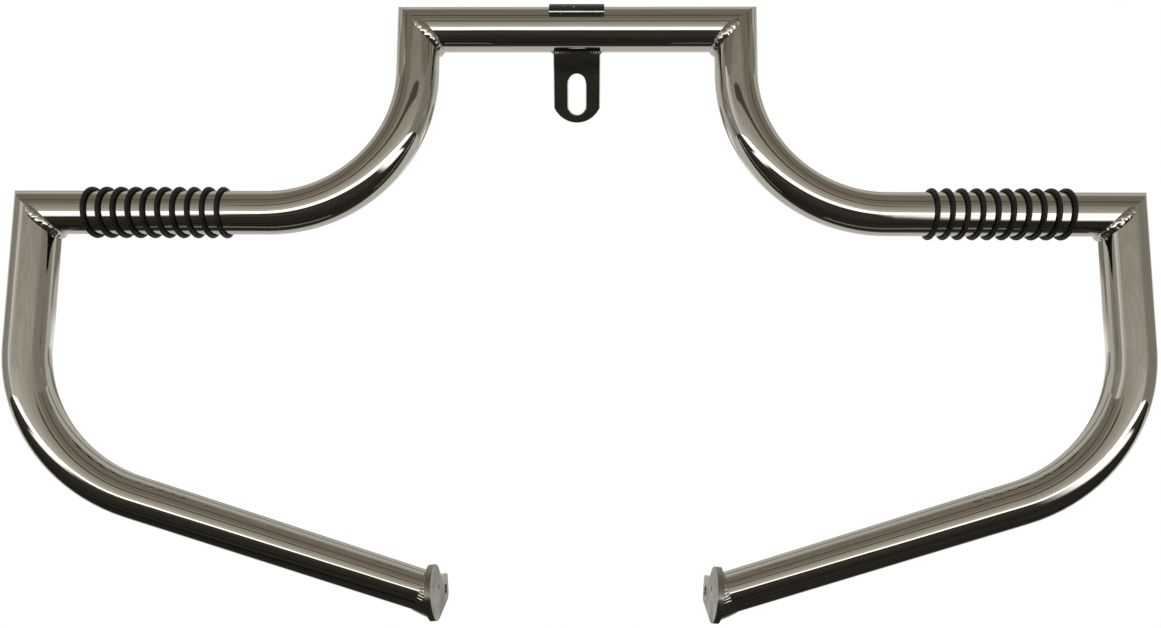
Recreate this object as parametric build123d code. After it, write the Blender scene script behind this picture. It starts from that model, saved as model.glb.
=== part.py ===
from build123d import *
from math import radians, tan
import os

# Motorcycle crash bars: bent steel tube mitred and welded into one frame, a slotted tab under the
# top tube, a bolt plate on each lower end and rubber rings over the side tubes as foot rests.
# Millimetres. +Z is up, +X is to the right seen from the front and -Y is the front.
# The frame is laid out from the middle of the top tube, then moved so that the origin is the
# middle of the tab's slot on the tab's rear face, where the bars bolt to the motorcycle.

# Tube stock
tube_diameter = 31.75
tube_wall = 3.05

# Upper frame, along the tube centre lines
top_span = 238.8
upper_drop = 34.9
upper_bend_radius = 107.95
side_run = 171.2

# Legs, straight down from the outer mitre to the point where the leg and the arm lines would cross
leg_length = 183.3
leg_bend_radius = 114.3

# Arms, from that crossing to the end plate
arm_length = 310.2
arm_drop = 19.0
arm_sweep = 12.5

# Weld beads inside the mitres: a round bead on an oval path in the plane of the mitre, set to the
# inner side so that it stands highest in the inner corner and sinks into the tubes at front and back
mitre_bead_radius = 5.2
mitre_bead_shift = 6.0
mitre_bead_long_radius = 14.4
mitre_bead_short_radius = 11.8

# End plates: a disc behind the tube end and a tongue that reaches back to the bolt hole
plate_thickness = 4.8
plate_disc_radius = 21.5
plate_reach = 45.1
plate_tongue_width = 21.6
plate_top_corner_radius = 3.8
plate_low_corner_radius = 7.5
plate_toe = 2.0
plate_cant = 4.5
plate_hole_diameter = 8.5
plate_hole_edge = 10.3
plate_hole_down = 1.4
vent_hole_diameter = 3.8
vent_hole_back = 8.5
vent_hole_up = 3.3

# Weld collars between the arms and the end plates
plate_weld_length = 9.4
plate_weld_height = 3.6
plate_weld_toe = 0.3
plate_weld_waist_place = 0.4
plate_weld_waist_rise = 0.55

# Centre tab
tab_width = 35.8
tab_thickness = 4.8
tab_reach = 51.2
tab_tip_rise = 11.6
tab_tilt = 29.0
slot_width = 13.5
slot_length = 30.3
slot_edge = 5.7
tab_weld_size = 1.4
tab_weld_root = 1.0

# Name plate, bent to the top tube
name_plate_length = 40.9
name_plate_thickness = 1.9
name_plate_low_angle = 8.0
name_plate_wrap = 56.0
name_plate_corner_radius = 1.5

# Foot rest rings
ring_count = 10
ring_pitch = 10.8
ring_cord = 3.0
ring_squash = 0.15
ring_group_shift = 5.5

tube_radius = tube_diameter / 2
bore_radius = tube_radius - tube_wall
overrun = 1.5 * tube_diameter

# Centre line points and directions of the right half
arm_direction = Vector(-1, tan(radians(arm_sweep)), -tan(radians(arm_drop))).normalized()
right = Vector(1, 0, 0)
down = Vector(0, 0, -1)
top_mitre = right * (top_span / 2)
upper_corner = top_mitre + down * (upper_drop + upper_bend_radius)
outer_mitre = upper_corner + right * (upper_bend_radius + side_run)
leg_corner = outer_mitre + down * leg_length
arm_end = leg_corner + arm_direction * arm_length

# The two faces of a mitre meet on the plane that halves the turn. Its inner side is down and to the left
mitre_inward = (down - right).normalized()
top_mitre_plane = Plane(origin=top_mitre, x_dir=mitre_inward, z_dir=right + down)
outer_mitre_plane = Plane(origin=outer_mitre, x_dir=mitre_inward, z_dir=right + down)

# Outer face of the right end plate: local x runs back, local y runs up, local z points outwards
plate_back = Vector(-tan(radians(plate_toe)), 1, 0)
plate_up = Vector(tan(radians(plate_cant)), 0, 1)
plate_plane = Plane(arm_end, x_dir=plate_back, z_dir=plate_back.cross(plate_up))

# Middle plane of the tab: local y runs up the tab to the tube axis, local z points to the front
tab_plane = Plane.XZ.rotated((tab_tilt, 0, 0))
tab_tip = -(tube_radius + tab_reach)
slot_centre = tab_tip + slot_edge + slot_length / 2
reference = tab_plane.from_local_coords(Vector(0, slot_centre, -tab_thickness / 2))


def tube_section():
    """Cross section of the tube stock."""
    return Circle(tube_radius) - Circle(bore_radius)


def swept(section, points, bend_radius):
    """Sweep a section along straight runs joined by tangent bends."""
    path = FilletPolyline(*points, radius=bend_radius)
    start = Plane(origin=points[0], z_dir=points[1] - points[0])
    return sweep(start * section, path=path)


def rod_through(point, direction, reach):
    """Solid rod of the tube's outside size, to trim a weld or a plate to a tube."""
    return extrude(Plane(origin=point, z_dir=direction) * Circle(tube_radius), amount=reach, both=True)


def mitred(tube, mitre_plane, waste_side):
    """Saw a tube off at a mitre. The saw is only as wide as the joint, so the tube's far end stays whole."""
    saw_width = 2 * (overrun + tube_diameter)
    saw = extrude(mitre_plane * Rectangle(saw_width, saw_width), amount=waste_side * saw_width)
    return tube - saw


def top_cross_tube():
    """Straight top tube, mitred at both ends."""
    tube = extrude(Plane.YZ * tube_section(), amount=top_span / 2 + overrun, both=True)
    left_plane = Plane(origin=-top_mitre, z_dir=down - right)
    return mitred(mitred(tube, top_mitre_plane, 1), left_plane, 1)


def upper_tube():
    """Right S tube: down from the top mitre, round the large bend and out to the outer mitre."""
    points = [top_mitre - down * overrun, upper_corner, outer_mitre + right * overrun]
    tube = swept(tube_section(), points, upper_bend_radius)
    return mitred(mitred(tube, top_mitre_plane, -1), outer_mitre_plane, 1)


def leg_tube():
    """Right leg: down from the outer mitre, round the lower bend and in to the end plate."""
    points = [outer_mitre - down * overrun, leg_corner, arm_end + arm_direction * overrun]
    tube = swept(tube_section(), points, leg_bend_radius)
    tube = mitred(tube, outer_mitre_plane, -1)
    return split(tube, bisect_by=plate_plane, keep=Keep.TOP)


def mitre_weld(mitre_plane):
    """Bead of weld along the inner side of a mitre, less the two tubes that it joins."""
    seam = mitre_plane * Pos(mitre_bead_shift, 0) * Ellipse(mitre_bead_long_radius, mitre_bead_short_radius)
    path = seam.wire()
    bead = sweep(Plane(origin=path @ 0, z_dir=path % 0) * Circle(mitre_bead_radius), path=path)
    run_in = rod_through(mitre_plane.origin, right, 2 * overrun)
    run_out = rod_through(mitre_plane.origin, down, 2 * overrun)
    return bead - run_in - run_out


def end_plate():
    """Right end plate: disc, tongue with a slanting lower edge, bolt hole and vent hole."""
    half_tongue = plate_tongue_width / 2
    disc = Circle(plate_disc_radius)
    low_corner = Pos(plate_reach - plate_low_corner_radius, plate_low_corner_radius - half_tongue)
    low_round = low_corner * Circle(plate_low_corner_radius)
    web = make_hull((disc + low_round).edges())
    plate_span = plate_disc_radius + plate_reach
    above_tongue = Pos(0, half_tongue) * Rectangle(
        2 * plate_span, plate_span, align=(Align.CENTER, Align.MIN)
    )
    upper_strip = Rectangle(plate_reach, half_tongue, align=Align.MIN)
    rear_top = upper_strip.vertices().group_by(Axis.X)[-1].sort_by(Axis.Y)[-1]
    upper_strip = fillet(rear_top, plate_top_corner_radius)
    outline = disc + (web - above_tongue) + upper_strip
    outline -= Pos(plate_reach - plate_hole_edge, -plate_hole_down) * Circle(plate_hole_diameter / 2)
    outline -= Pos(vent_hole_back, vent_hole_up) * Circle(vent_hole_diameter / 2)
    return extrude(plate_plane * outline, amount=-plate_thickness)


def plate_weld():
    """Flared collar of weld between the right arm and its end plate."""
    toe = Plane(origin=arm_end - arm_direction * plate_weld_length, z_dir=arm_direction)
    inward = -plate_plane.z_dir
    waist_origin = arm_end - arm_direction * (plate_weld_length * plate_weld_waist_place)
    waist = Plane(origin=waist_origin, z_dir=arm_direction + inward)
    foot = Plane(origin=arm_end, z_dir=inward)
    sections = [
        toe * Circle(tube_radius + plate_weld_toe),
        waist * Circle(tube_radius + plate_weld_height * plate_weld_waist_rise),
        foot * Circle(tube_radius + plate_weld_height),
    ]
    return loft(sections) - rod_through(arm_end, arm_direction, plate_weld_length + overrun)


def centre_tab():
    """Slotted tab with a rounded tip, cut to sit on the top tube."""
    half = tab_width / 2
    shoulder = tab_tip + tab_tip_rise
    sides = Polyline((half, shoulder), (half, 0), (-half, 0), (-half, shoulder))
    tip = ThreePointArc((-half, shoulder), (0, tab_tip), (half, shoulder))
    outline = make_face([sides, tip])
    outline -= Pos(0, slot_centre) * SlotOverall(slot_length, slot_width, rotation=90)
    tab = extrude(tab_plane * outline, amount=tab_thickness / 2, both=True)
    return tab - rod_through(Vector(), right, top_span)


def tab_weld(tab):
    """Fillet weld along the front and the ends of the tab. Its rear face stays flat to seat."""
    root_origin = tab_plane.from_local_coords(Vector(0, tab_weld_root - tube_radius, 0))
    root = Plane(root_origin, x_dir=tab_plane.x_dir, z_dir=-tab_plane.y_dir)
    depth = tab_weld_root + tab_weld_size
    base = root * Rectangle(tab_width + 2 * depth, tab_thickness + 2 * depth)
    bead = extrude(base, amount=depth, taper=45)
    rear_face = tab_plane.offset(-tab_thickness / 2)
    bead = split(bead, bisect_by=rear_face, keep=Keep.TOP)
    return bead - tab - rod_through(Vector(), right, top_span)


def name_plate():
    """Small bare plate bent round the upper front of the top tube."""
    blank = Rectangle(name_plate_length, name_plate_thickness)
    blank = Pos(0, -(tube_radius + name_plate_thickness / 2), 0) * blank
    turn_up = Axis((0, 0, 0), (-1, 0, 0))
    plate = revolve(blank, axis=turn_up, revolution_arc=name_plate_wrap)
    plate = Rot(X=-name_plate_low_angle) * plate
    corners = plate.edges().filter_by(GeomType.LINE).filter_by(Axis.X, reverse=True)
    return fillet(corners, name_plate_corner_radius)


def foot_ring():
    """Rubber ring stretched on a tube: a round cord that is flat where it grips the tube."""
    cord_radius = ring_cord / 2
    cord = Pos(0, tube_radius + cord_radius - ring_squash) * Circle(cord_radius)
    tube_side = Rectangle(2 * ring_cord, 2 * tube_radius)
    return revolve(cord - tube_side, axis=Axis.X)


def ring_places():
    """Middle points of the rings on the right side tube, from the outside in."""
    group = (ring_count - 1) * ring_pitch
    first = side_run / 2 + ring_group_shift - group / 2
    return [outer_mitre - right * (first + index * ring_pitch) for index in range(ring_count)]


def save(node, shape):
    """Write one piece, placed from the reference point."""
    export_step(Pos(-reference) * shape, os.path.join("parts", node + ".step"))


def save_pair(name, shape):
    """Write a right hand piece and its mirror image on the left."""
    save("right_" + name, shape)
    save("left_" + name, mirror(shape, about=Plane.YZ))


def build():
    os.makedirs("parts", exist_ok=True)
    tab = centre_tab()
    save("top_cross_tube", top_cross_tube())
    save("centre_tab", tab)
    save("tab_weld", tab_weld(tab))
    save("name_plate", name_plate())
    save_pair("upper_tube", upper_tube())
    save_pair("leg_tube", leg_tube())
    save_pair("top_weld", mitre_weld(top_mitre_plane))
    save_pair("corner_weld", mitre_weld(outer_mitre_plane))
    save_pair("end_plate", end_plate())
    save_pair("plate_weld", plate_weld())
    ring = foot_ring()
    for number, place in enumerate(ring_places(), start=1):
        save_pair(f"o_ring_{number:02d}", Pos(place) * ring)


build()
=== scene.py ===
"""Motorcycle crash bars in polished chrome, with rubber foot rest rings, on a plain studio stage.

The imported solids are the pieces. This file gives each one its finish and sets floor, light and camera.
"""

import math
from collections import namedtuple

import bpy
from bpy.props import FloatProperty, FloatVectorProperty, PointerProperty
from mathutils import Matrix, Vector


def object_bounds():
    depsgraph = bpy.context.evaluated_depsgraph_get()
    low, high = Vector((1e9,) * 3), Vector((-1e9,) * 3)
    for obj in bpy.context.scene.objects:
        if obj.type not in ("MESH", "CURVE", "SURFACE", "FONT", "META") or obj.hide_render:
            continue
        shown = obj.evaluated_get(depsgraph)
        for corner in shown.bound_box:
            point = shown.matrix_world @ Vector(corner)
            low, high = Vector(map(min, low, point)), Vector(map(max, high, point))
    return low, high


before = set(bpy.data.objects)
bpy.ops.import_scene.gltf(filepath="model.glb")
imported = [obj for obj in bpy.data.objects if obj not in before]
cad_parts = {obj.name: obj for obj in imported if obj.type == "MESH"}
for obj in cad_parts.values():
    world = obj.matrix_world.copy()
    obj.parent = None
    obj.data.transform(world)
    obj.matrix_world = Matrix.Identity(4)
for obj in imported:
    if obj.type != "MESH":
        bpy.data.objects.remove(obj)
cad_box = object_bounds()

bl_info = {
    "name": "Crash Bars Finish",
    "version": (1, 1, 0),
    "blender": (4, 5, 0),
    "location": "3D View > Sidebar > Crash Bars",
    "description": "Finishes for chromed motorcycle crash bars and a studio stage to show them on",
    "category": "Object",
}

# The pieces by finish
SIDES = ("left", "right")
TUBES = ("top_cross_tube", *(f"{side}_{tube}" for side in SIDES for tube in ("upper_tube", "leg_tube")))
TOP_WELDS = tuple(f"{side}_top_weld" for side in SIDES)
CORNER_WELDS = tuple(f"{side}_corner_weld" for side in SIDES)
PLATE_WELDS = tuple(f"{side}_plate_weld" for side in SIDES)
END_PLATES = tuple(f"{side}_end_plate" for side in SIDES)
TAB = "centre_tab"
TAB_WELD = "tab_weld"
NAME_PLATE = "name_plate"
RINGS = tuple(sorted(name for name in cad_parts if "_o_ring_" in name))

# Points of the solids in metres, on the right half: the top tube's middle, the points where the tube
# axes cross at the mitres, and the end of the arm
BAR_MIDDLE = Vector((0.0, -0.024509, 0.039266))
TOP_MITRE = Vector((0.1194, -0.024509, 0.039266))
OUTER_MITRE = Vector((0.39855, -0.024509, -0.103584))
ARM_END = Vector((0.111489, 0.03913, -0.385727))

# How far the middle of a mitre's bead lies inside the crossing of the tube axes, in metres
MITRE_BEAD_SHIFT = 0.006

# Directions, those of the arm and the mitres on the right half
RIGHTWARD = Vector((1.0, 0.0, 0.0))
BACKWARD = Vector((0.0, 1.0, 0.0))
UPWARD = Vector((0.0, 0.0, 1.0))
ARM_SWEEP = math.radians(12.5)
ARM_SLOPE = math.radians(19.0)
ARM_DIRECTION = Vector((-1.0, math.tan(ARM_SWEEP), -math.tan(ARM_SLOPE))).normalized()
MITRE_INWARD = Vector((-1.0, 0.0, -1.0)).normalized()

# Patches of noise, with so many waves to the metre and so many finer layers in them
Patches = namedtuple("Patches", "waves detail")
CHROME_FILM = Patches(16.0, 4.0)
CHROME_SMEARS = Patches(45.0, 5.0)
BEAD_WANDER = Patches(260.0, 2.0)
ENAMEL_CHIPS = Patches(420.0, 4.0)
ENAMEL_HAZE = Patches(90.0, 3.0)
RUBBER_DUST = Patches(120.0, 4.0)

# Bumps made from such noise, with their depth in metres
Relief = namedtuple("Relief", "waves detail depth")
TUBE_WAVES = Relief(22.0, 1.0, 0.0003)
TUBE_GRAIN = Relief(700.0, 2.0, 0.0000012)
BEAD_LUMPS = Relief(110.0, 2.0, 0.0009)
FLAT_WAVES = Relief(30.0, 2.0, 0.0002)
FLAT_GRAIN = Relief(1400.0, 3.0, 0.000006)
ENAMEL_DIMPLES = Relief(500.0, 2.0, 0.00002)
RUBBER_GRAIN = Relief(2600.0, 2.0, 0.00001)
RUBBER_LUMPS = Relief(350.0, 2.0, 0.00006)

# The range that holds most values of the noise
NOISE_RANGE = (0.3, 0.7)

# Least and most blur of smeared chrome, as shares of the finish's own
SMEAR_BLUR = (0.5, 1.7)

# Ripples in one turn of a bead, the length of one on the tab's straight bead in metres, and how far the
# ripples stray in radians
MITRE_RIPPLES = 24.0
COLLAR_RIPPLES = 40.0
TAB_RIPPLE_LENGTH = 0.002
RIPPLE_STRAY = 2.2

# The painted highlight on the name plate, a light line for its lower edge catching light: its turn above the
# front of the tube, and half its width
HIGHLIGHT_LINE_TURN = math.radians(15.0)
HIGHLIGHT_LINE_HALF = math.radians(1.7)

# The noise above which the enamel is chipped, how metallic its chipped places and the painted highlight line
# are, and its own gloss
CHIP_LIMIT = 0.72
CHIP_AND_HIGHLIGHT_METALLIC = 0.2
ENAMEL_BLUR = (0.22, 0.42)
ENAMEL_SPECULAR = 0.25

# Dust on the rings: the noise where it begins and where it is thickest, and its cover there
DUST_RANGE = (0.5, 0.75)
DUST_COVER = 0.8

# Gloss of the rubber, clean to dusty
RUBBER_BLUR = (0.5, 0.7)
RUBBER_SPECULAR = 0.3

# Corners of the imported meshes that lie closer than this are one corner, in metres
JOIN_DISTANCE = 0.00001

# Edges that turn by more than this are rounded, in so many steps
SHARP_TURN = math.radians(40.0)
ROUNDING_STEPS = 2

# The picture's frame, the camera's focal length and the row of its axis, in pixels
PICTURE_WIDTH = 1161
PICTURE_HEIGHT = 628
FOCAL_PIXELS = 860
AXIS_ROW = 390

# The camera's sensor in millimetres, and the nearest that it shows in metres
SENSOR_WIDTH_MM = 36.0
CAMERA_NEAR = 0.01

# The lamp's side and place, the floor's half side, and the distances between which the floor fades into
# white, in metres
LAMP_SIDE = 1.2
LAMP_PLACE = Vector((-0.3, -0.5, 1.6))
FLOOR_HALF = 9
FLOOR_FADE = (0.65, 1.15)

# The room that the chrome shows, and how far its floor cards stand above the floor, in metres
ROOM_HALF_WIDTH = 3.3
ROOM_HALF_LENGTH = 3.0
CEILING_HEIGHT = 1.8
ROOM_FLOOR_RISE = 0.004
DARK_FLOOR_RISE = 0.007
FLOOR_LIGHT_RISE = 0.01

# Streaks on a card: how much longer than high they are, their waves over half a card and the finer layers
STREAK_STRETCH = 6.0
STREAK_WAVES = 3.0
STREAK_DETAIL = 5.0

# A plain card: the share of its half sides that fades at the edges, and its darkest and lightest streaks
PLAIN_EDGES = (0.001, 0.001)
PLAIN_STREAKS = (0.85, 1.15)

# Colours of the room
WHITE = (1.0, 0.985, 0.95)
PALE = (0.66, 0.64, 0.59)
SIDE_GREY = (0.31, 0.29, 0.245)
REAR_GREY = (0.3, 0.29, 0.265)
SHADE_GREY = (0.27, 0.25, 0.205)
OLIVE = (0.25, 0.232, 0.175)
RAIL_BROWN = (0.1, 0.09, 0.07)

# Colours along the room's cards, each with its share of the way
FLOOR_COLOURS = (
    (0.0, PALE),
    (0.06, WHITE),
    (0.3, WHITE),
    (0.5, REAR_GREY),
    (1.0, REAR_GREY),
)
DARK_FLOOR_COLOURS = (
    (0.0, (0.03, 0.0275, 0.0225)),
    (0.3, (0.056, 0.051, 0.043)),
    (0.5, (0.042, 0.0385, 0.032)),
    (0.65, (0.027, 0.0245, 0.02)),
    (0.76, (0.024, 0.0215, 0.0175)),
    (0.88, (0.032, 0.0295, 0.0245)),
    (1.0, (0.05, 0.046, 0.038)),
)
FRONT_WALL_COLOURS = (
    (0.0, (0.74, 0.7, 0.63)),
    (0.17, (0.68, 0.64, 0.565)),
    (0.26, (0.57, 0.535, 0.47)),
    (0.35, (0.52, 0.487, 0.42)),
    (0.5, (0.47, 0.437, 0.372)),
    (0.92, (0.36, 0.335, 0.27)),
    (1.0, (0.3, 0.28, 0.215)),
)
CEILING_COLOURS = (
    (0.0, OLIVE),
    (0.5, OLIVE),
    (0.6, PALE),
    (1.0, PALE),
)
LEFT_WALL_COLOURS = (
    (0.0, PALE),
    (0.13, PALE),
    (0.21, WHITE),
    (0.31, (0.4, 0.375, 0.325)),
    (0.65, SIDE_GREY),
    (0.76, PALE),
    (1.0, PALE),
)
RIGHT_WALL_COLOURS = (
    (0.0, (0.38, 0.355, 0.3)),
    (0.2, SIDE_GREY),
    (0.75, SIDE_GREY),
    (0.85, PALE),
    (1.0, PALE),
)


def colour_property(name, description, default):
    """A linear colour that a user can change."""
    return FloatVectorProperty(
        name=name, description=description, default=default, subtype="COLOR", size=3, min=0.0, max=1.0
    )


def share_property(name, description, default):
    """A number from 0 to 1 that a user can change."""
    return FloatProperty(
        name=name, description=description, default=default, subtype="FACTOR", min=0.0, max=1.0
    )


def length_property(name, description, default):
    """A length in metres that a user can change."""
    return FloatProperty(name=name, description=description, default=default, min=0.0, unit="LENGTH")


class CrashBarsFinish(bpy.types.PropertyGroup):
    """Colours and surface values of the bars."""

    chrome: colour_property("Chrome", "Colour of the chrome plate", (0.57, 0.555, 0.525))
    chrome_haze: colour_property("Chrome haze", "Chrome where a film was left on it", (0.53, 0.51, 0.475))
    chrome_roughness: share_property("Chrome roughness", "Blur of the polished tubes", 0.035)
    weld_roughness: share_property("Weld roughness", "Blur of the plated welds", 0.09)
    plate_roughness: share_property("Plate roughness", "Blur of the end plates", 0.33)
    # Painted shade: the end plates get the tube chrome's colour darkened by this share
    plate_painted_shade: share_property("Plate shade", "Brightness of the end plates beside the tubes", 0.6)
    tab_roughness: share_property("Tab roughness", "Blur of the centre tab", 0.04)
    # Painted shade: the tab gets the tube chrome's colour darkened by this share, in place of darker
    # reflections
    tab_painted_shade: share_property("Tab shade", "Brightness of the centre tab beside the tubes", 0.6)
    edge_round: length_property("Edge rounding", "Rounding of the edges of flat pieces", 0.0005)
    ripple_depth: length_property("Ripple depth", "Depth of the ripples in the weld beads", 0.0002)
    rubber: colour_property("Rubber", "Colour of the foot rest rings", (0.007, 0.007, 0.0065))
    rubber_dust: colour_property("Rubber dust", "Colour of the dust on the rings", (0.022, 0.021, 0.019))
    enamel: colour_property("Enamel", "Black enamel of the name plate", (0.008, 0.0075, 0.0065))
    # Colour of the chipped metal and of the painted highlight line on the name plate
    bare_metal_and_highlight: colour_property("Bare metal", "Bare line along the name plate", (0.9, 0.88, 0.82))


class CrashBarsStage(bpy.types.PropertyGroup):
    """Places and levels of the stage."""

    floor_drop: length_property("Floor drop", "Height of the lowest plate above the floor", 0.17)
    floor: colour_property("Floor", "Colour of the floor near the bars", (0.86, 0.86, 0.85))
    sky_level: FloatProperty(
        name="Sky level", description="Soft light from all round", default=0.62, min=0.0, subtype="FACTOR"
    )
    lamp_power: FloatProperty(
        name="Lamp power", description="Power of the soft lamp overhead", default=22.0, min=0.0, unit="POWER"
    )
    camera_place: FloatVectorProperty(
        name="Camera place", description="Where the camera stands", default=(0.01312, -0.63871, -0.30366),
        size=3, subtype="TRANSLATION", unit="LENGTH",
    )
    camera_yaw: FloatProperty(
        name="Camera yaw", description="Turn of the camera to the left", default=0.01397, unit="ROTATION"
    )
    camera_pitch: FloatProperty(
        name="Camera pitch", description="Tilt of the camera upwards", default=0.11251, unit="ROTATION"
    )
    camera_roll: FloatProperty(
        name="Camera roll", description="Roll of the camera", default=0.00661, unit="ROTATION"
    )


def finish_values():
    """The finish that the user has set."""
    return bpy.context.scene.crash_bars_finish


def stage_values():
    """The stage that the user has set."""
    return bpy.context.scene.crash_bars_stage


def rgba(colour):
    """A colour with full cover."""
    return (*colour, 1.0)


def add_node(tree, kind, **inputs):
    """Add a shader node and set or link its inputs by name."""
    node = tree.nodes.new(kind)
    for name, value in inputs.items():
        socket = node.inputs[name.replace("_", " ")]
        if isinstance(value, bpy.types.NodeSocket):
            tree.links.new(value, socket)
        else:
            socket.default_value = value
    return node


def calculate(tree, operation, *values):
    """Do one sum on numbers or sockets and return its result."""
    node = tree.nodes.new("ShaderNodeMath")
    node.operation = operation
    for socket, value in zip(node.inputs, values):
        if isinstance(value, bpy.types.NodeSocket):
            tree.links.new(value, socket)
        else:
            socket.default_value = value
    return node.outputs["Value"]


def calculate_vector(tree, operation, vector, other=(0.0, 0.0, 0.0)):
    """Do one sum on a vector socket and a fixed vector and return its results."""
    node = tree.nodes.new("ShaderNodeVectorMath")
    node.operation = operation
    tree.links.new(vector, node.inputs[0])
    node.inputs[1].default_value = other
    return node.outputs


def dot_product(tree, vector, direction):
    """Length of a vector socket along a fixed direction."""
    return calculate_vector(tree, "DOT_PRODUCT", vector, direction)["Value"]


def spread(tree, value, low, high, from_low=0.0, from_high=1.0):
    """Stretch a value evenly from one range to another and hold it at the ends."""
    node = add_node(
        tree, "ShaderNodeMapRange",
        Value=value, From_Min=from_low, From_Max=from_high, To_Min=low, To_Max=high,
    )
    return node.outputs["Result"]


def fade(tree, value, start, end):
    """Fall smoothly from 1 to 0 as a value goes from start to end."""
    node = add_node(
        tree, "ShaderNodeMapRange", Value=value, From_Min=start, From_Max=end, To_Min=1.0, To_Max=0.0
    )
    node.interpolation_type = "SMOOTHSTEP"
    return node.outputs["Result"]


def mix_colours(tree, share, first, second):
    """Mix two colours by a socket."""
    node = tree.nodes.new("ShaderNodeMix")
    node.data_type = "RGBA"
    tree.links.new(share, node.inputs["Factor"])
    node.inputs["A"].default_value = rgba(first)
    node.inputs["B"].default_value = rgba(second)
    return node.outputs["Result"]


def mix_shaders(tree, share, first, second):
    """Mix two shaders by a socket."""
    node = add_node(tree, "ShaderNodeMixShader", Fac=share)
    tree.links.new(first, node.inputs[1])
    tree.links.new(second, node.inputs[2])
    return node.outputs["Shader"]


def new_material(name):
    """An empty node material with its output."""
    material = bpy.data.materials.new(name)
    material.use_nodes = True
    tree = material.node_tree
    tree.nodes.clear()
    output = tree.nodes.new("ShaderNodeOutputMaterial")
    return material, tree, output


def object_place(tree):
    """Place on the piece, in metres."""
    return tree.nodes.new("ShaderNodeTexCoord").outputs["Object"]


def noise(tree, pattern):
    """Noise fixed to the piece, from its waves and detail."""
    place = object_place(tree)
    node = add_node(tree, "ShaderNodeTexNoise", Vector=place, Scale=pattern.waves, Detail=pattern.detail)
    return node.outputs["Fac"]


def add_bump(tree, height, depth, below=None):
    """Bump of a depth in metres, on top of another bump if one is given."""
    node = add_node(tree, "ShaderNodeBump", Height=height, Strength=1.0, Distance=depth)
    if below is not None:
        tree.links.new(below, node.inputs["Normal"])
    return node.outputs["Normal"]


def add_relief(tree, relief, below=None):
    """Bump made from noise, on top of another bump if one is given."""
    return add_bump(tree, noise(tree, relief), relief.depth, below)


def chrome_coat(tree, output, roughness, normal, shade=1.0):
    """Chrome plate with a faint film, smears and the given bumps; a shade under 1 darkens its colour as
    painted shade.
    """
    values = finish_values()
    clean = [shade * channel for channel in values.chrome]
    hazy = [shade * channel for channel in values.chrome_haze]
    least, most = (roughness * share for share in SMEAR_BLUR)
    film = noise(tree, CHROME_FILM)
    smear = noise(tree, CHROME_SMEARS)
    shader = add_node(
        tree, "ShaderNodeBsdfPrincipled",
        Base_Color=mix_colours(tree, film, clean, hazy), Metallic=1.0,
        Roughness=spread(tree, smear, least, most, *NOISE_RANGE), Normal=normal,
    )
    tree.links.new(shader.outputs["BSDF"], output.inputs["Surface"])


def tube_chrome():
    """Bright chrome of the tubes, with long low waves from grinding and bending."""
    material, tree, output = new_material("chrome_tube")
    waves = add_relief(tree, TUBE_WAVES)
    grain = add_relief(tree, TUBE_GRAIN, waves)
    chrome_coat(tree, output, finish_values().chrome_roughness, grain)
    return material


def mirrored_offset(tree, centre):
    """Place from a point on the right half, with the left half folded over onto it."""
    axes = add_node(tree, "ShaderNodeSeparateXYZ", Vector=object_place(tree)).outputs
    across = calculate(tree, "ABSOLUTE", axes["X"])
    folded = add_node(tree, "ShaderNodeCombineXYZ", X=across, Y=axes["Y"], Z=axes["Z"]).outputs["Vector"]
    return calculate_vector(tree, "SUBTRACT", folded, centre)["Vector"]


def turn_about(tree, centre, first, second):
    """Angle round a point of the right half, from one direction to another."""
    offset = mirrored_offset(tree, centre)
    return calculate(tree, "ARCTAN2", dot_product(tree, offset, second), dot_product(tree, offset, first))


def top_mitre_turn(tree):
    """Turn along a bead of the top mitres."""
    return turn_about(tree, TOP_MITRE + MITRE_INWARD * MITRE_BEAD_SHIFT, MITRE_INWARD, BACKWARD)


def outer_mitre_turn(tree):
    """Turn along a bead of the outer mitres."""
    return turn_about(tree, OUTER_MITRE + MITRE_INWARD * MITRE_BEAD_SHIFT, MITRE_INWARD, BACKWARD)


def collar_turn(tree):
    """Turn along the weld round an arm's end."""
    second = ARM_DIRECTION.cross(BACKWARD).normalized()
    first = second.cross(ARM_DIRECTION)
    return turn_about(tree, ARM_END, first, second)


def tab_length(tree):
    """Length along the tab's weld."""
    return dot_product(tree, object_place(tree), RIGHTWARD)


def weld_chrome(name, along, ripples):
    """Plated weld bead with scale-like ripples; along tells how a point lies on the bead."""
    material, tree, output = new_material(name)
    values = finish_values()
    wander = calculate(tree, "MULTIPLY", noise(tree, BEAD_WANDER), RIPPLE_STRAY)
    phase = calculate(tree, "ADD", calculate(tree, "MULTIPLY", along(tree), ripples / 2), wander)
    scale = calculate(tree, "ABSOLUTE", calculate(tree, "SINE", phase))
    rippled = add_bump(tree, scale, values.ripple_depth)
    lumps = add_relief(tree, BEAD_LUMPS, rippled)
    chrome_coat(tree, output, values.weld_roughness, lumps)
    return material


def flat_chrome(name, roughness, shade):
    """Plated flat steel with the faint grain of its grinding, its colour darkened by the given painted
    shade.
    """
    material, tree, output = new_material(name)
    waves = add_relief(tree, FLAT_WAVES)
    grain = add_relief(tree, FLAT_GRAIN, waves)
    chrome_coat(tree, output, roughness, grain, shade)
    return material


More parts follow.
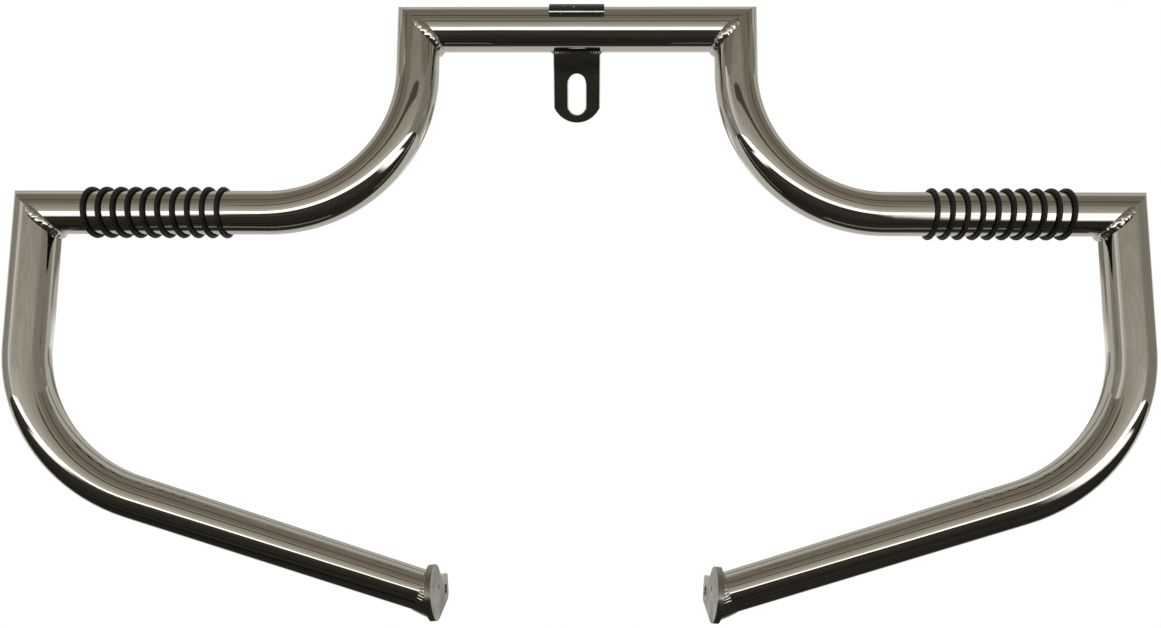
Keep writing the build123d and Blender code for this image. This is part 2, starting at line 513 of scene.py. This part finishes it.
def enamel_material():
    """Black enamel with small chips to the metal, and a painted highlight: a light line along the lower edge
    of the name plate.
    """
    material, tree, output = new_material("black_plate")
    values = finish_values()
    offset = mirrored_offset(tree, BAR_MIDDLE)
    rise = dot_product(tree, offset, UPWARD)
    ahead = dot_product(tree, offset, -BACKWARD)
    turn = calculate(tree, "ARCTAN2", rise, ahead)
    # The light line is a painted highlight, for the plate's lower edge catching light
    line = calculate(tree, "COMPARE", turn, HIGHLIGHT_LINE_TURN, HIGHLIGHT_LINE_HALF)
    chips = calculate(tree, "GREATER_THAN", noise(tree, ENAMEL_CHIPS), CHIP_LIMIT)
    chips_and_highlight = calculate(tree, "MAXIMUM", line, chips)
    shader = add_node(
        tree, "ShaderNodeBsdfPrincipled",
        Base_Color=mix_colours(tree, chips_and_highlight, values.enamel, values.bare_metal_and_highlight),
        Metallic=calculate(tree, "MULTIPLY", chips_and_highlight, CHIP_AND_HIGHLIGHT_METALLIC),
        Roughness=spread(tree, noise(tree, ENAMEL_HAZE), *ENAMEL_BLUR),
        Normal=add_relief(tree, ENAMEL_DIMPLES), Specular_IOR_Level=ENAMEL_SPECULAR,
    )
    tree.links.new(shader.outputs["BSDF"], output.inputs["Surface"])
    return material


def rubber_material():
    """Black rubber with a soft sheen, a fine moulded grain and dust in patches."""
    material, tree, output = new_material("black_rubber")
    values = finish_values()
    dust = spread(tree, noise(tree, RUBBER_DUST), 0.0, DUST_COVER, *DUST_RANGE)
    grain = add_relief(tree, RUBBER_GRAIN)
    lumps = add_relief(tree, RUBBER_LUMPS, grain)
    shader = add_node(
        tree, "ShaderNodeBsdfPrincipled",
        Base_Color=mix_colours(tree, dust, values.rubber, values.rubber_dust),
        Roughness=spread(tree, dust, *RUBBER_BLUR), Normal=lumps, Specular_IOR_Level=RUBBER_SPECULAR,
    )
    tree.links.new(shader.outputs["BSDF"], output.inputs["Surface"])
    return material


def round_edges(names):
    """Round the sharp edges of flat pieces a little, as grinding and plating leave them."""
    for name in names:
        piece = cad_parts[name]
        join = piece.modifiers.new("join", "WELD")
        join.merge_threshold = JOIN_DISTANCE
        edges = piece.modifiers.new("edges", "BEVEL")
        edges.width = finish_values().edge_round
        edges.segments = ROUNDING_STEPS
        edges.limit_method = "ANGLE"
        edges.angle_limit = SHARP_TURN


def dress(names, material):
    """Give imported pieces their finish."""
    for name in names:
        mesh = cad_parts[name].data
        mesh.materials.clear()
        mesh.materials.append(material)


def seen_directly(tree):
    """1 for what the camera sees straight, mirrored or through glass, and 0 for light on the pieces."""
    path = tree.nodes.new("ShaderNodeLightPath").outputs
    mirrored = calculate(tree, "MAXIMUM", path["Is Camera Ray"], path["Is Glossy Ray"])
    return calculate(tree, "MAXIMUM", mirrored, path["Is Transmission Ray"])


def glow_material(name, stops, strength, soft, streaks):
    """Light that runs through colours up a card, with level streaks, and fades out at the card's edges."""
    material, tree, output = new_material(name)
    axes = add_node(tree, "ShaderNodeSeparateXYZ", Vector=object_place(tree)).outputs
    ramp = add_node(tree, "ShaderNodeValToRGB", Fac=spread(tree, axes["Y"], 0.0, 1.0, -1.0, 1.0))
    elements = ramp.color_ramp.elements
    for element, (position, colour) in zip(elements, (stops[0], stops[-1])):
        element.position = position
        element.color = rgba(colour)
    for position, colour in stops[1:-1]:
        elements.new(position).color = rgba(colour)
    stretched = calculate(tree, "MULTIPLY", axes["Y"], STREAK_STRETCH)
    flat = add_node(tree, "ShaderNodeCombineXYZ", X=axes["X"], Y=stretched).outputs["Vector"]
    pattern = add_node(tree, "ShaderNodeTexNoise", Vector=flat, Scale=STREAK_WAVES, Detail=STREAK_DETAIL)
    least, most = (strength * share for share in streaks)
    level = spread(tree, pattern.outputs["Fac"], least, most, *NOISE_RANGE)
    glow = add_node(tree, "ShaderNodeEmission", Color=ramp.outputs["Color"], Strength=level)
    across = fade(tree, calculate(tree, "ABSOLUTE", axes["X"]), 1.0 - soft[0], 1.0)
    up = fade(tree, calculate(tree, "ABSOLUTE", axes["Y"]), 1.0 - soft[1], 1.0)
    cover = calculate(tree, "MULTIPLY", across, up)
    clear = tree.nodes.new("ShaderNodeBsdfTransparent")
    blend = mix_shaders(tree, cover, clear.outputs["BSDF"], glow.outputs["Emission"])
    tree.links.new(blend, output.inputs["Surface"])
    return material


def add_sheet(name, centre, across, up, material):
    """A flat rectangle of the stage from its middle and its two half sides."""
    mesh = bpy.data.meshes.new(name)
    mesh.from_pydata([(-1, -1, 0), (1, -1, 0), (1, 1, 0), (-1, 1, 0)], [], [(0, 1, 2, 3)])
    mesh.materials.append(material)
    sheet = bpy.data.objects.new(name, mesh)
    bpy.context.scene.collection.objects.link(sheet)
    facing = Vector(across).cross(Vector(up)).normalized()
    axes = Matrix((across, up, facing)).transposed()
    sheet.matrix_world = Matrix.Translation(centre) @ axes.to_4x4()
    return sheet


def add_card(name, centre, across, up, stops, strength=1.0, soft=PLAIN_EDGES, streaks=PLAIN_STREAKS):
    """A card that shows in polished metal alone."""
    card = add_sheet(name, centre, across, up, glow_material(name, stops, strength, soft, streaks))
    card.visible_camera = False
    card.visible_diffuse = False
    card.visible_shadow = False


def even(colour):
    """The same colour all the way up a card."""
    return ((0.0, colour), (1.0, colour))


def set_world(scene):
    """White all round in the picture and in metal, and softer as light on the pieces."""
    world = bpy.data.worlds.new("studio")
    scene.world = world
    world.use_nodes = True
    tree = world.node_tree
    tree.nodes.clear()
    level = spread(tree, seen_directly(tree), stage_values().sky_level, 1.0)
    backdrop = add_node(tree, "ShaderNodeBackground", Color=(1.0, 1.0, 1.0, 1.0), Strength=level)
    output = tree.nodes.new("ShaderNodeOutputWorld")
    tree.links.new(backdrop.outputs["Background"], output.inputs["Surface"])


def set_lamp(scene):
    """One wide soft lamp above the bars, for the shadow on the floor."""
    light = bpy.data.lights.new("overhead_lamp", "AREA")
    light.energy = stage_values().lamp_power
    light.size = LAMP_SIDE
    lamp = bpy.data.objects.new("overhead_lamp", light)
    lamp.location = LAMP_PLACE
    lamp.rotation_euler = (-LAMP_PLACE).to_track_quat("-Z", "Y").to_euler()
    lamp.visible_camera = False
    lamp.visible_glossy = False
    scene.collection.objects.link(lamp)


def set_floor(height):
    """Pale floor that takes the bars' shadow and runs out into white."""
    material, tree, output = new_material("pale_floor")
    place = add_node(tree, "ShaderNodeNewGeometry").outputs["Position"]
    flat = calculate_vector(tree, "MULTIPLY", place, (1.0, 1.0, 0.0))["Vector"]
    distance = calculate_vector(tree, "LENGTH", flat)["Value"]
    near = fade(tree, distance, *FLOOR_FADE)
    far = calculate(tree, "MULTIPLY", calculate(tree, "SUBTRACT", 1.0, near), seen_directly(tree))
    matt = add_node(tree, "ShaderNodeBsdfDiffuse", Color=rgba(stage_values().floor))
    white = add_node(tree, "ShaderNodeEmission", Color=(1.0, 1.0, 1.0, 1.0), Strength=1.0)
    blend = mix_shaders(tree, far, matt.outputs["BSDF"], white.outputs["Emission"])
    tree.links.new(blend, output.inputs["Surface"])
    add_sheet("floor", (0, 0, height), (FLOOR_HALF, 0, 0), (0, FLOOR_HALF, 0), material)


def set_room(floor_height):
    """Plain floor, walls and ceiling of a studio, which only the chrome shows."""
    middle = (CEILING_HEIGHT + floor_height) / 2
    half_height = (CEILING_HEIGHT - floor_height) / 2
    across = (ROOM_HALF_WIDTH, 0, 0)
    along = (0, ROOM_HALF_LENGTH, 0)
    upright = (0, 0, half_height)
    add_card(
        "mirrored_floor", centre=(0, 0, floor_height + ROOM_FLOOR_RISE), across=across, up=along,
        stops=FLOOR_COLOURS, strength=2.4,
    )
    add_card(
        "dark_floor", centre=(0, -0.425, floor_height + DARK_FLOOR_RISE), across=across, up=(0, 0.825, 0),
        stops=DARK_FLOOR_COLOURS, soft=(0.02, 0.13), streaks=(0.25, 2.0),
    )
    add_card("front_wall", (0, -ROOM_HALF_LENGTH, middle), across, upright, FRONT_WALL_COLOURS)
    add_card("rear_wall", (0, ROOM_HALF_LENGTH, middle), across, upright, even(PALE))
    add_card("ceiling", (0, 0, CEILING_HEIGHT), across, along, CEILING_COLOURS)
    add_card("left_wall", (-ROOM_HALF_WIDTH, 0, middle), upright, along, LEFT_WALL_COLOURS)
    add_card("right_wall", (ROOM_HALF_WIDTH, 0, middle), upright, along, RIGHT_WALL_COLOURS)


def set_lights_and_rails(floor_height):
    """Lighter and darker places of the studio, as the chrome shows them."""
    near_floor = floor_height + FLOOR_LIGHT_RISE
    add_card(
        "floor_light", centre=(0.95, -0.8, near_floor), across=(0.5, 0, 0), up=(0, 0.42, 0),
        stops=even(WHITE), strength=2.2, soft=(0.5, 0.5),
    )
    add_card(
        "left_floor_light", centre=(-1.0, -1.0, near_floor), across=(0.38, 0, 0), up=(0, 0.4, 0),
        stops=even(WHITE), strength=2.0, soft=(0.6, 0.6),
    )
    add_card(
        "dark_rail", centre=(-0.1, -2.9, 1.05), across=(1.7, 0, 0), up=(0, 0, 0.2),
        stops=even(RAIL_BROWN), soft=(0.3, 0.35),
    )
    add_card(
        "ceiling_beam", centre=(0, -1.4, 1.75), across=(3.2, 0, 0), up=(0, 0.2, 0),
        stops=even(RAIL_BROWN), soft=(0.1, 0.6),
    )
    add_card(
        "rear_rail", centre=(0, 2.9, 0.72), across=(2.9, 0, 0), up=(0, 0, 0.26),
        stops=even(SHADE_GREY), soft=(0.2, 0.4),
    )
    add_card(
        "rear_beam", centre=(0, 1.5, 1.75), across=(3.2, 0, 0), up=(0, 0.3, 0),
        stops=even(SHADE_GREY), soft=(0.1, 0.5),
    )
    add_card(
        "rear_light", centre=(0, 2.9, 0.12), across=(2.9, 0, 0), up=(0, 0, 0.24),
        stops=even(WHITE), strength=1.15, soft=(0.2, 0.5),
    )


def set_camera(scene):
    """Camera at the picture's angle and frame."""
    values = stage_values()
    camera = bpy.data.cameras.new("camera")
    camera.sensor_width = SENSOR_WIDTH_MM
    camera.lens = FOCAL_PIXELS / PICTURE_WIDTH * SENSOR_WIDTH_MM
    camera.shift_y = (AXIS_ROW - PICTURE_HEIGHT / 2) / PICTURE_WIDTH
    camera.clip_start = CAMERA_NEAR
    viewer = bpy.data.objects.new("camera", camera)
    scene.collection.objects.link(viewer)
    yaw = Matrix.Rotation(values.camera_yaw, 4, "Z")
    pitch = Matrix.Rotation(math.pi / 2 + values.camera_pitch, 4, "X")
    roll = Matrix.Rotation(values.camera_roll, 4, "Z")
    viewer.matrix_world = Matrix.Translation(values.camera_place) @ yaw @ pitch @ roll
    scene.camera = viewer


class CRASHBARS_OT_polish_tubes(bpy.types.Operator):
    """Polish the bent tubes"""

    bl_idname = "crash_bars.polish_tubes"
    bl_label = "Polish Tubes"

    def execute(self, context):
        dress(TUBES, tube_chrome())
        return {"FINISHED"}


class CRASHBARS_OT_finish_welds(bpy.types.Operator):
    """Ripple and plate the weld beads"""

    bl_idname = "crash_bars.finish_welds"
    bl_label = "Finish Welds"

    def execute(self, context):
        tab_ripples = 2 * math.pi / TAB_RIPPLE_LENGTH
        dress(TOP_WELDS, weld_chrome("chrome_top_weld", top_mitre_turn, MITRE_RIPPLES))
        dress(CORNER_WELDS, weld_chrome("chrome_corner_weld", outer_mitre_turn, MITRE_RIPPLES))
        dress(PLATE_WELDS, weld_chrome("chrome_plate_weld", collar_turn, COLLAR_RIPPLES))
        dress([TAB_WELD], weld_chrome("chrome_tab_weld", tab_length, tab_ripples))
        return {"FINISHED"}


class CRASHBARS_OT_finish_plates(bpy.types.Operator):
    """Plate the tab and the end plates"""

    bl_idname = "crash_bars.finish_plates"
    bl_label = "Finish Plates"

    def execute(self, context):
        values = finish_values()
        # The end plates' chrome colour is darkened by a painted shade
        dress(END_PLATES, flat_chrome("chrome_end_plate", values.plate_roughness, values.plate_painted_shade))
        # The tab's chrome colour is darkened by a painted shade too
        dress([TAB], flat_chrome("chrome_tab", values.tab_roughness, values.tab_painted_shade))
        round_edges([*END_PLATES, TAB])
        return {"FINISHED"}


class CRASHBARS_OT_finish_name_plate(bpy.types.Operator):
    """Enamel the small bare plate on the top tube"""

    bl_idname = "crash_bars.finish_name_plate"
    bl_label = "Finish Name Plate"

    def execute(self, context):
        dress([NAME_PLATE], enamel_material())
        round_edges([NAME_PLATE])
        return {"FINISHED"}


class CRASHBARS_OT_mould_rings(bpy.types.Operator):
    """Mould the rubber rings"""

    bl_idname = "crash_bars.mould_rings"
    bl_label = "Mould Rings"

    def execute(self, context):
        dress(RINGS, rubber_material())
        return {"FINISHED"}


class CRASHBARS_OT_set_stage(bpy.types.Operator):
    """Set world, lamp, floor, cards and camera"""

    bl_idname = "crash_bars.set_stage"
    bl_label = "Set Stage"

    def execute(self, context):
        scene = context.scene
        scene.view_settings.view_transform = "Standard"
        floor_height = cad_box[0].z - stage_values().floor_drop
        set_world(scene)
        set_lamp(scene)
        set_floor(floor_height)
        set_room(floor_height)
        set_lights_and_rails(floor_height)
        set_camera(scene)
        return {"FINISHED"}


class CRASHBARS_PT_panel(bpy.types.Panel):
    """Lists the steps that finish the bars"""

    bl_label = "Crash Bars"
    bl_idname = "CRASHBARS_PT_panel"
    bl_space_type = "VIEW_3D"
    bl_region_type = "UI"
    bl_category = "Crash Bars"

    def draw(self, context):
        for step in STEPS:
            self.layout.operator(step.bl_idname)


STEPS = (
    CRASHBARS_OT_polish_tubes,
    CRASHBARS_OT_finish_welds,
    CRASHBARS_OT_finish_plates,
    CRASHBARS_OT_finish_name_plate,
    CRASHBARS_OT_mould_rings,
    CRASHBARS_OT_set_stage,
)
CLASSES = (CrashBarsFinish, CrashBarsStage, *STEPS, CRASHBARS_PT_panel)


def register():
    """Make the classes known to Blender."""
    for part in CLASSES:
        bpy.utils.register_class(part)
    bpy.types.Scene.crash_bars_finish = PointerProperty(type=CrashBarsFinish)
    bpy.types.Scene.crash_bars_stage = PointerProperty(type=CrashBarsStage)


def unregister():
    """Take the classes out of Blender again."""
    del bpy.types.Scene.crash_bars_stage
    del bpy.types.Scene.crash_bars_finish
    for part in reversed(CLASSES):
        bpy.utils.unregister_class(part)


def main():
    """Run every step in order."""
    register()
    bpy.ops.crash_bars.polish_tubes()
    bpy.ops.crash_bars.finish_welds()
    bpy.ops.crash_bars.finish_plates()
    bpy.ops.crash_bars.finish_name_plate()
    bpy.ops.crash_bars.mould_rings()
    bpy.ops.crash_bars.set_stage()


if __name__ == "__main__":
    main()
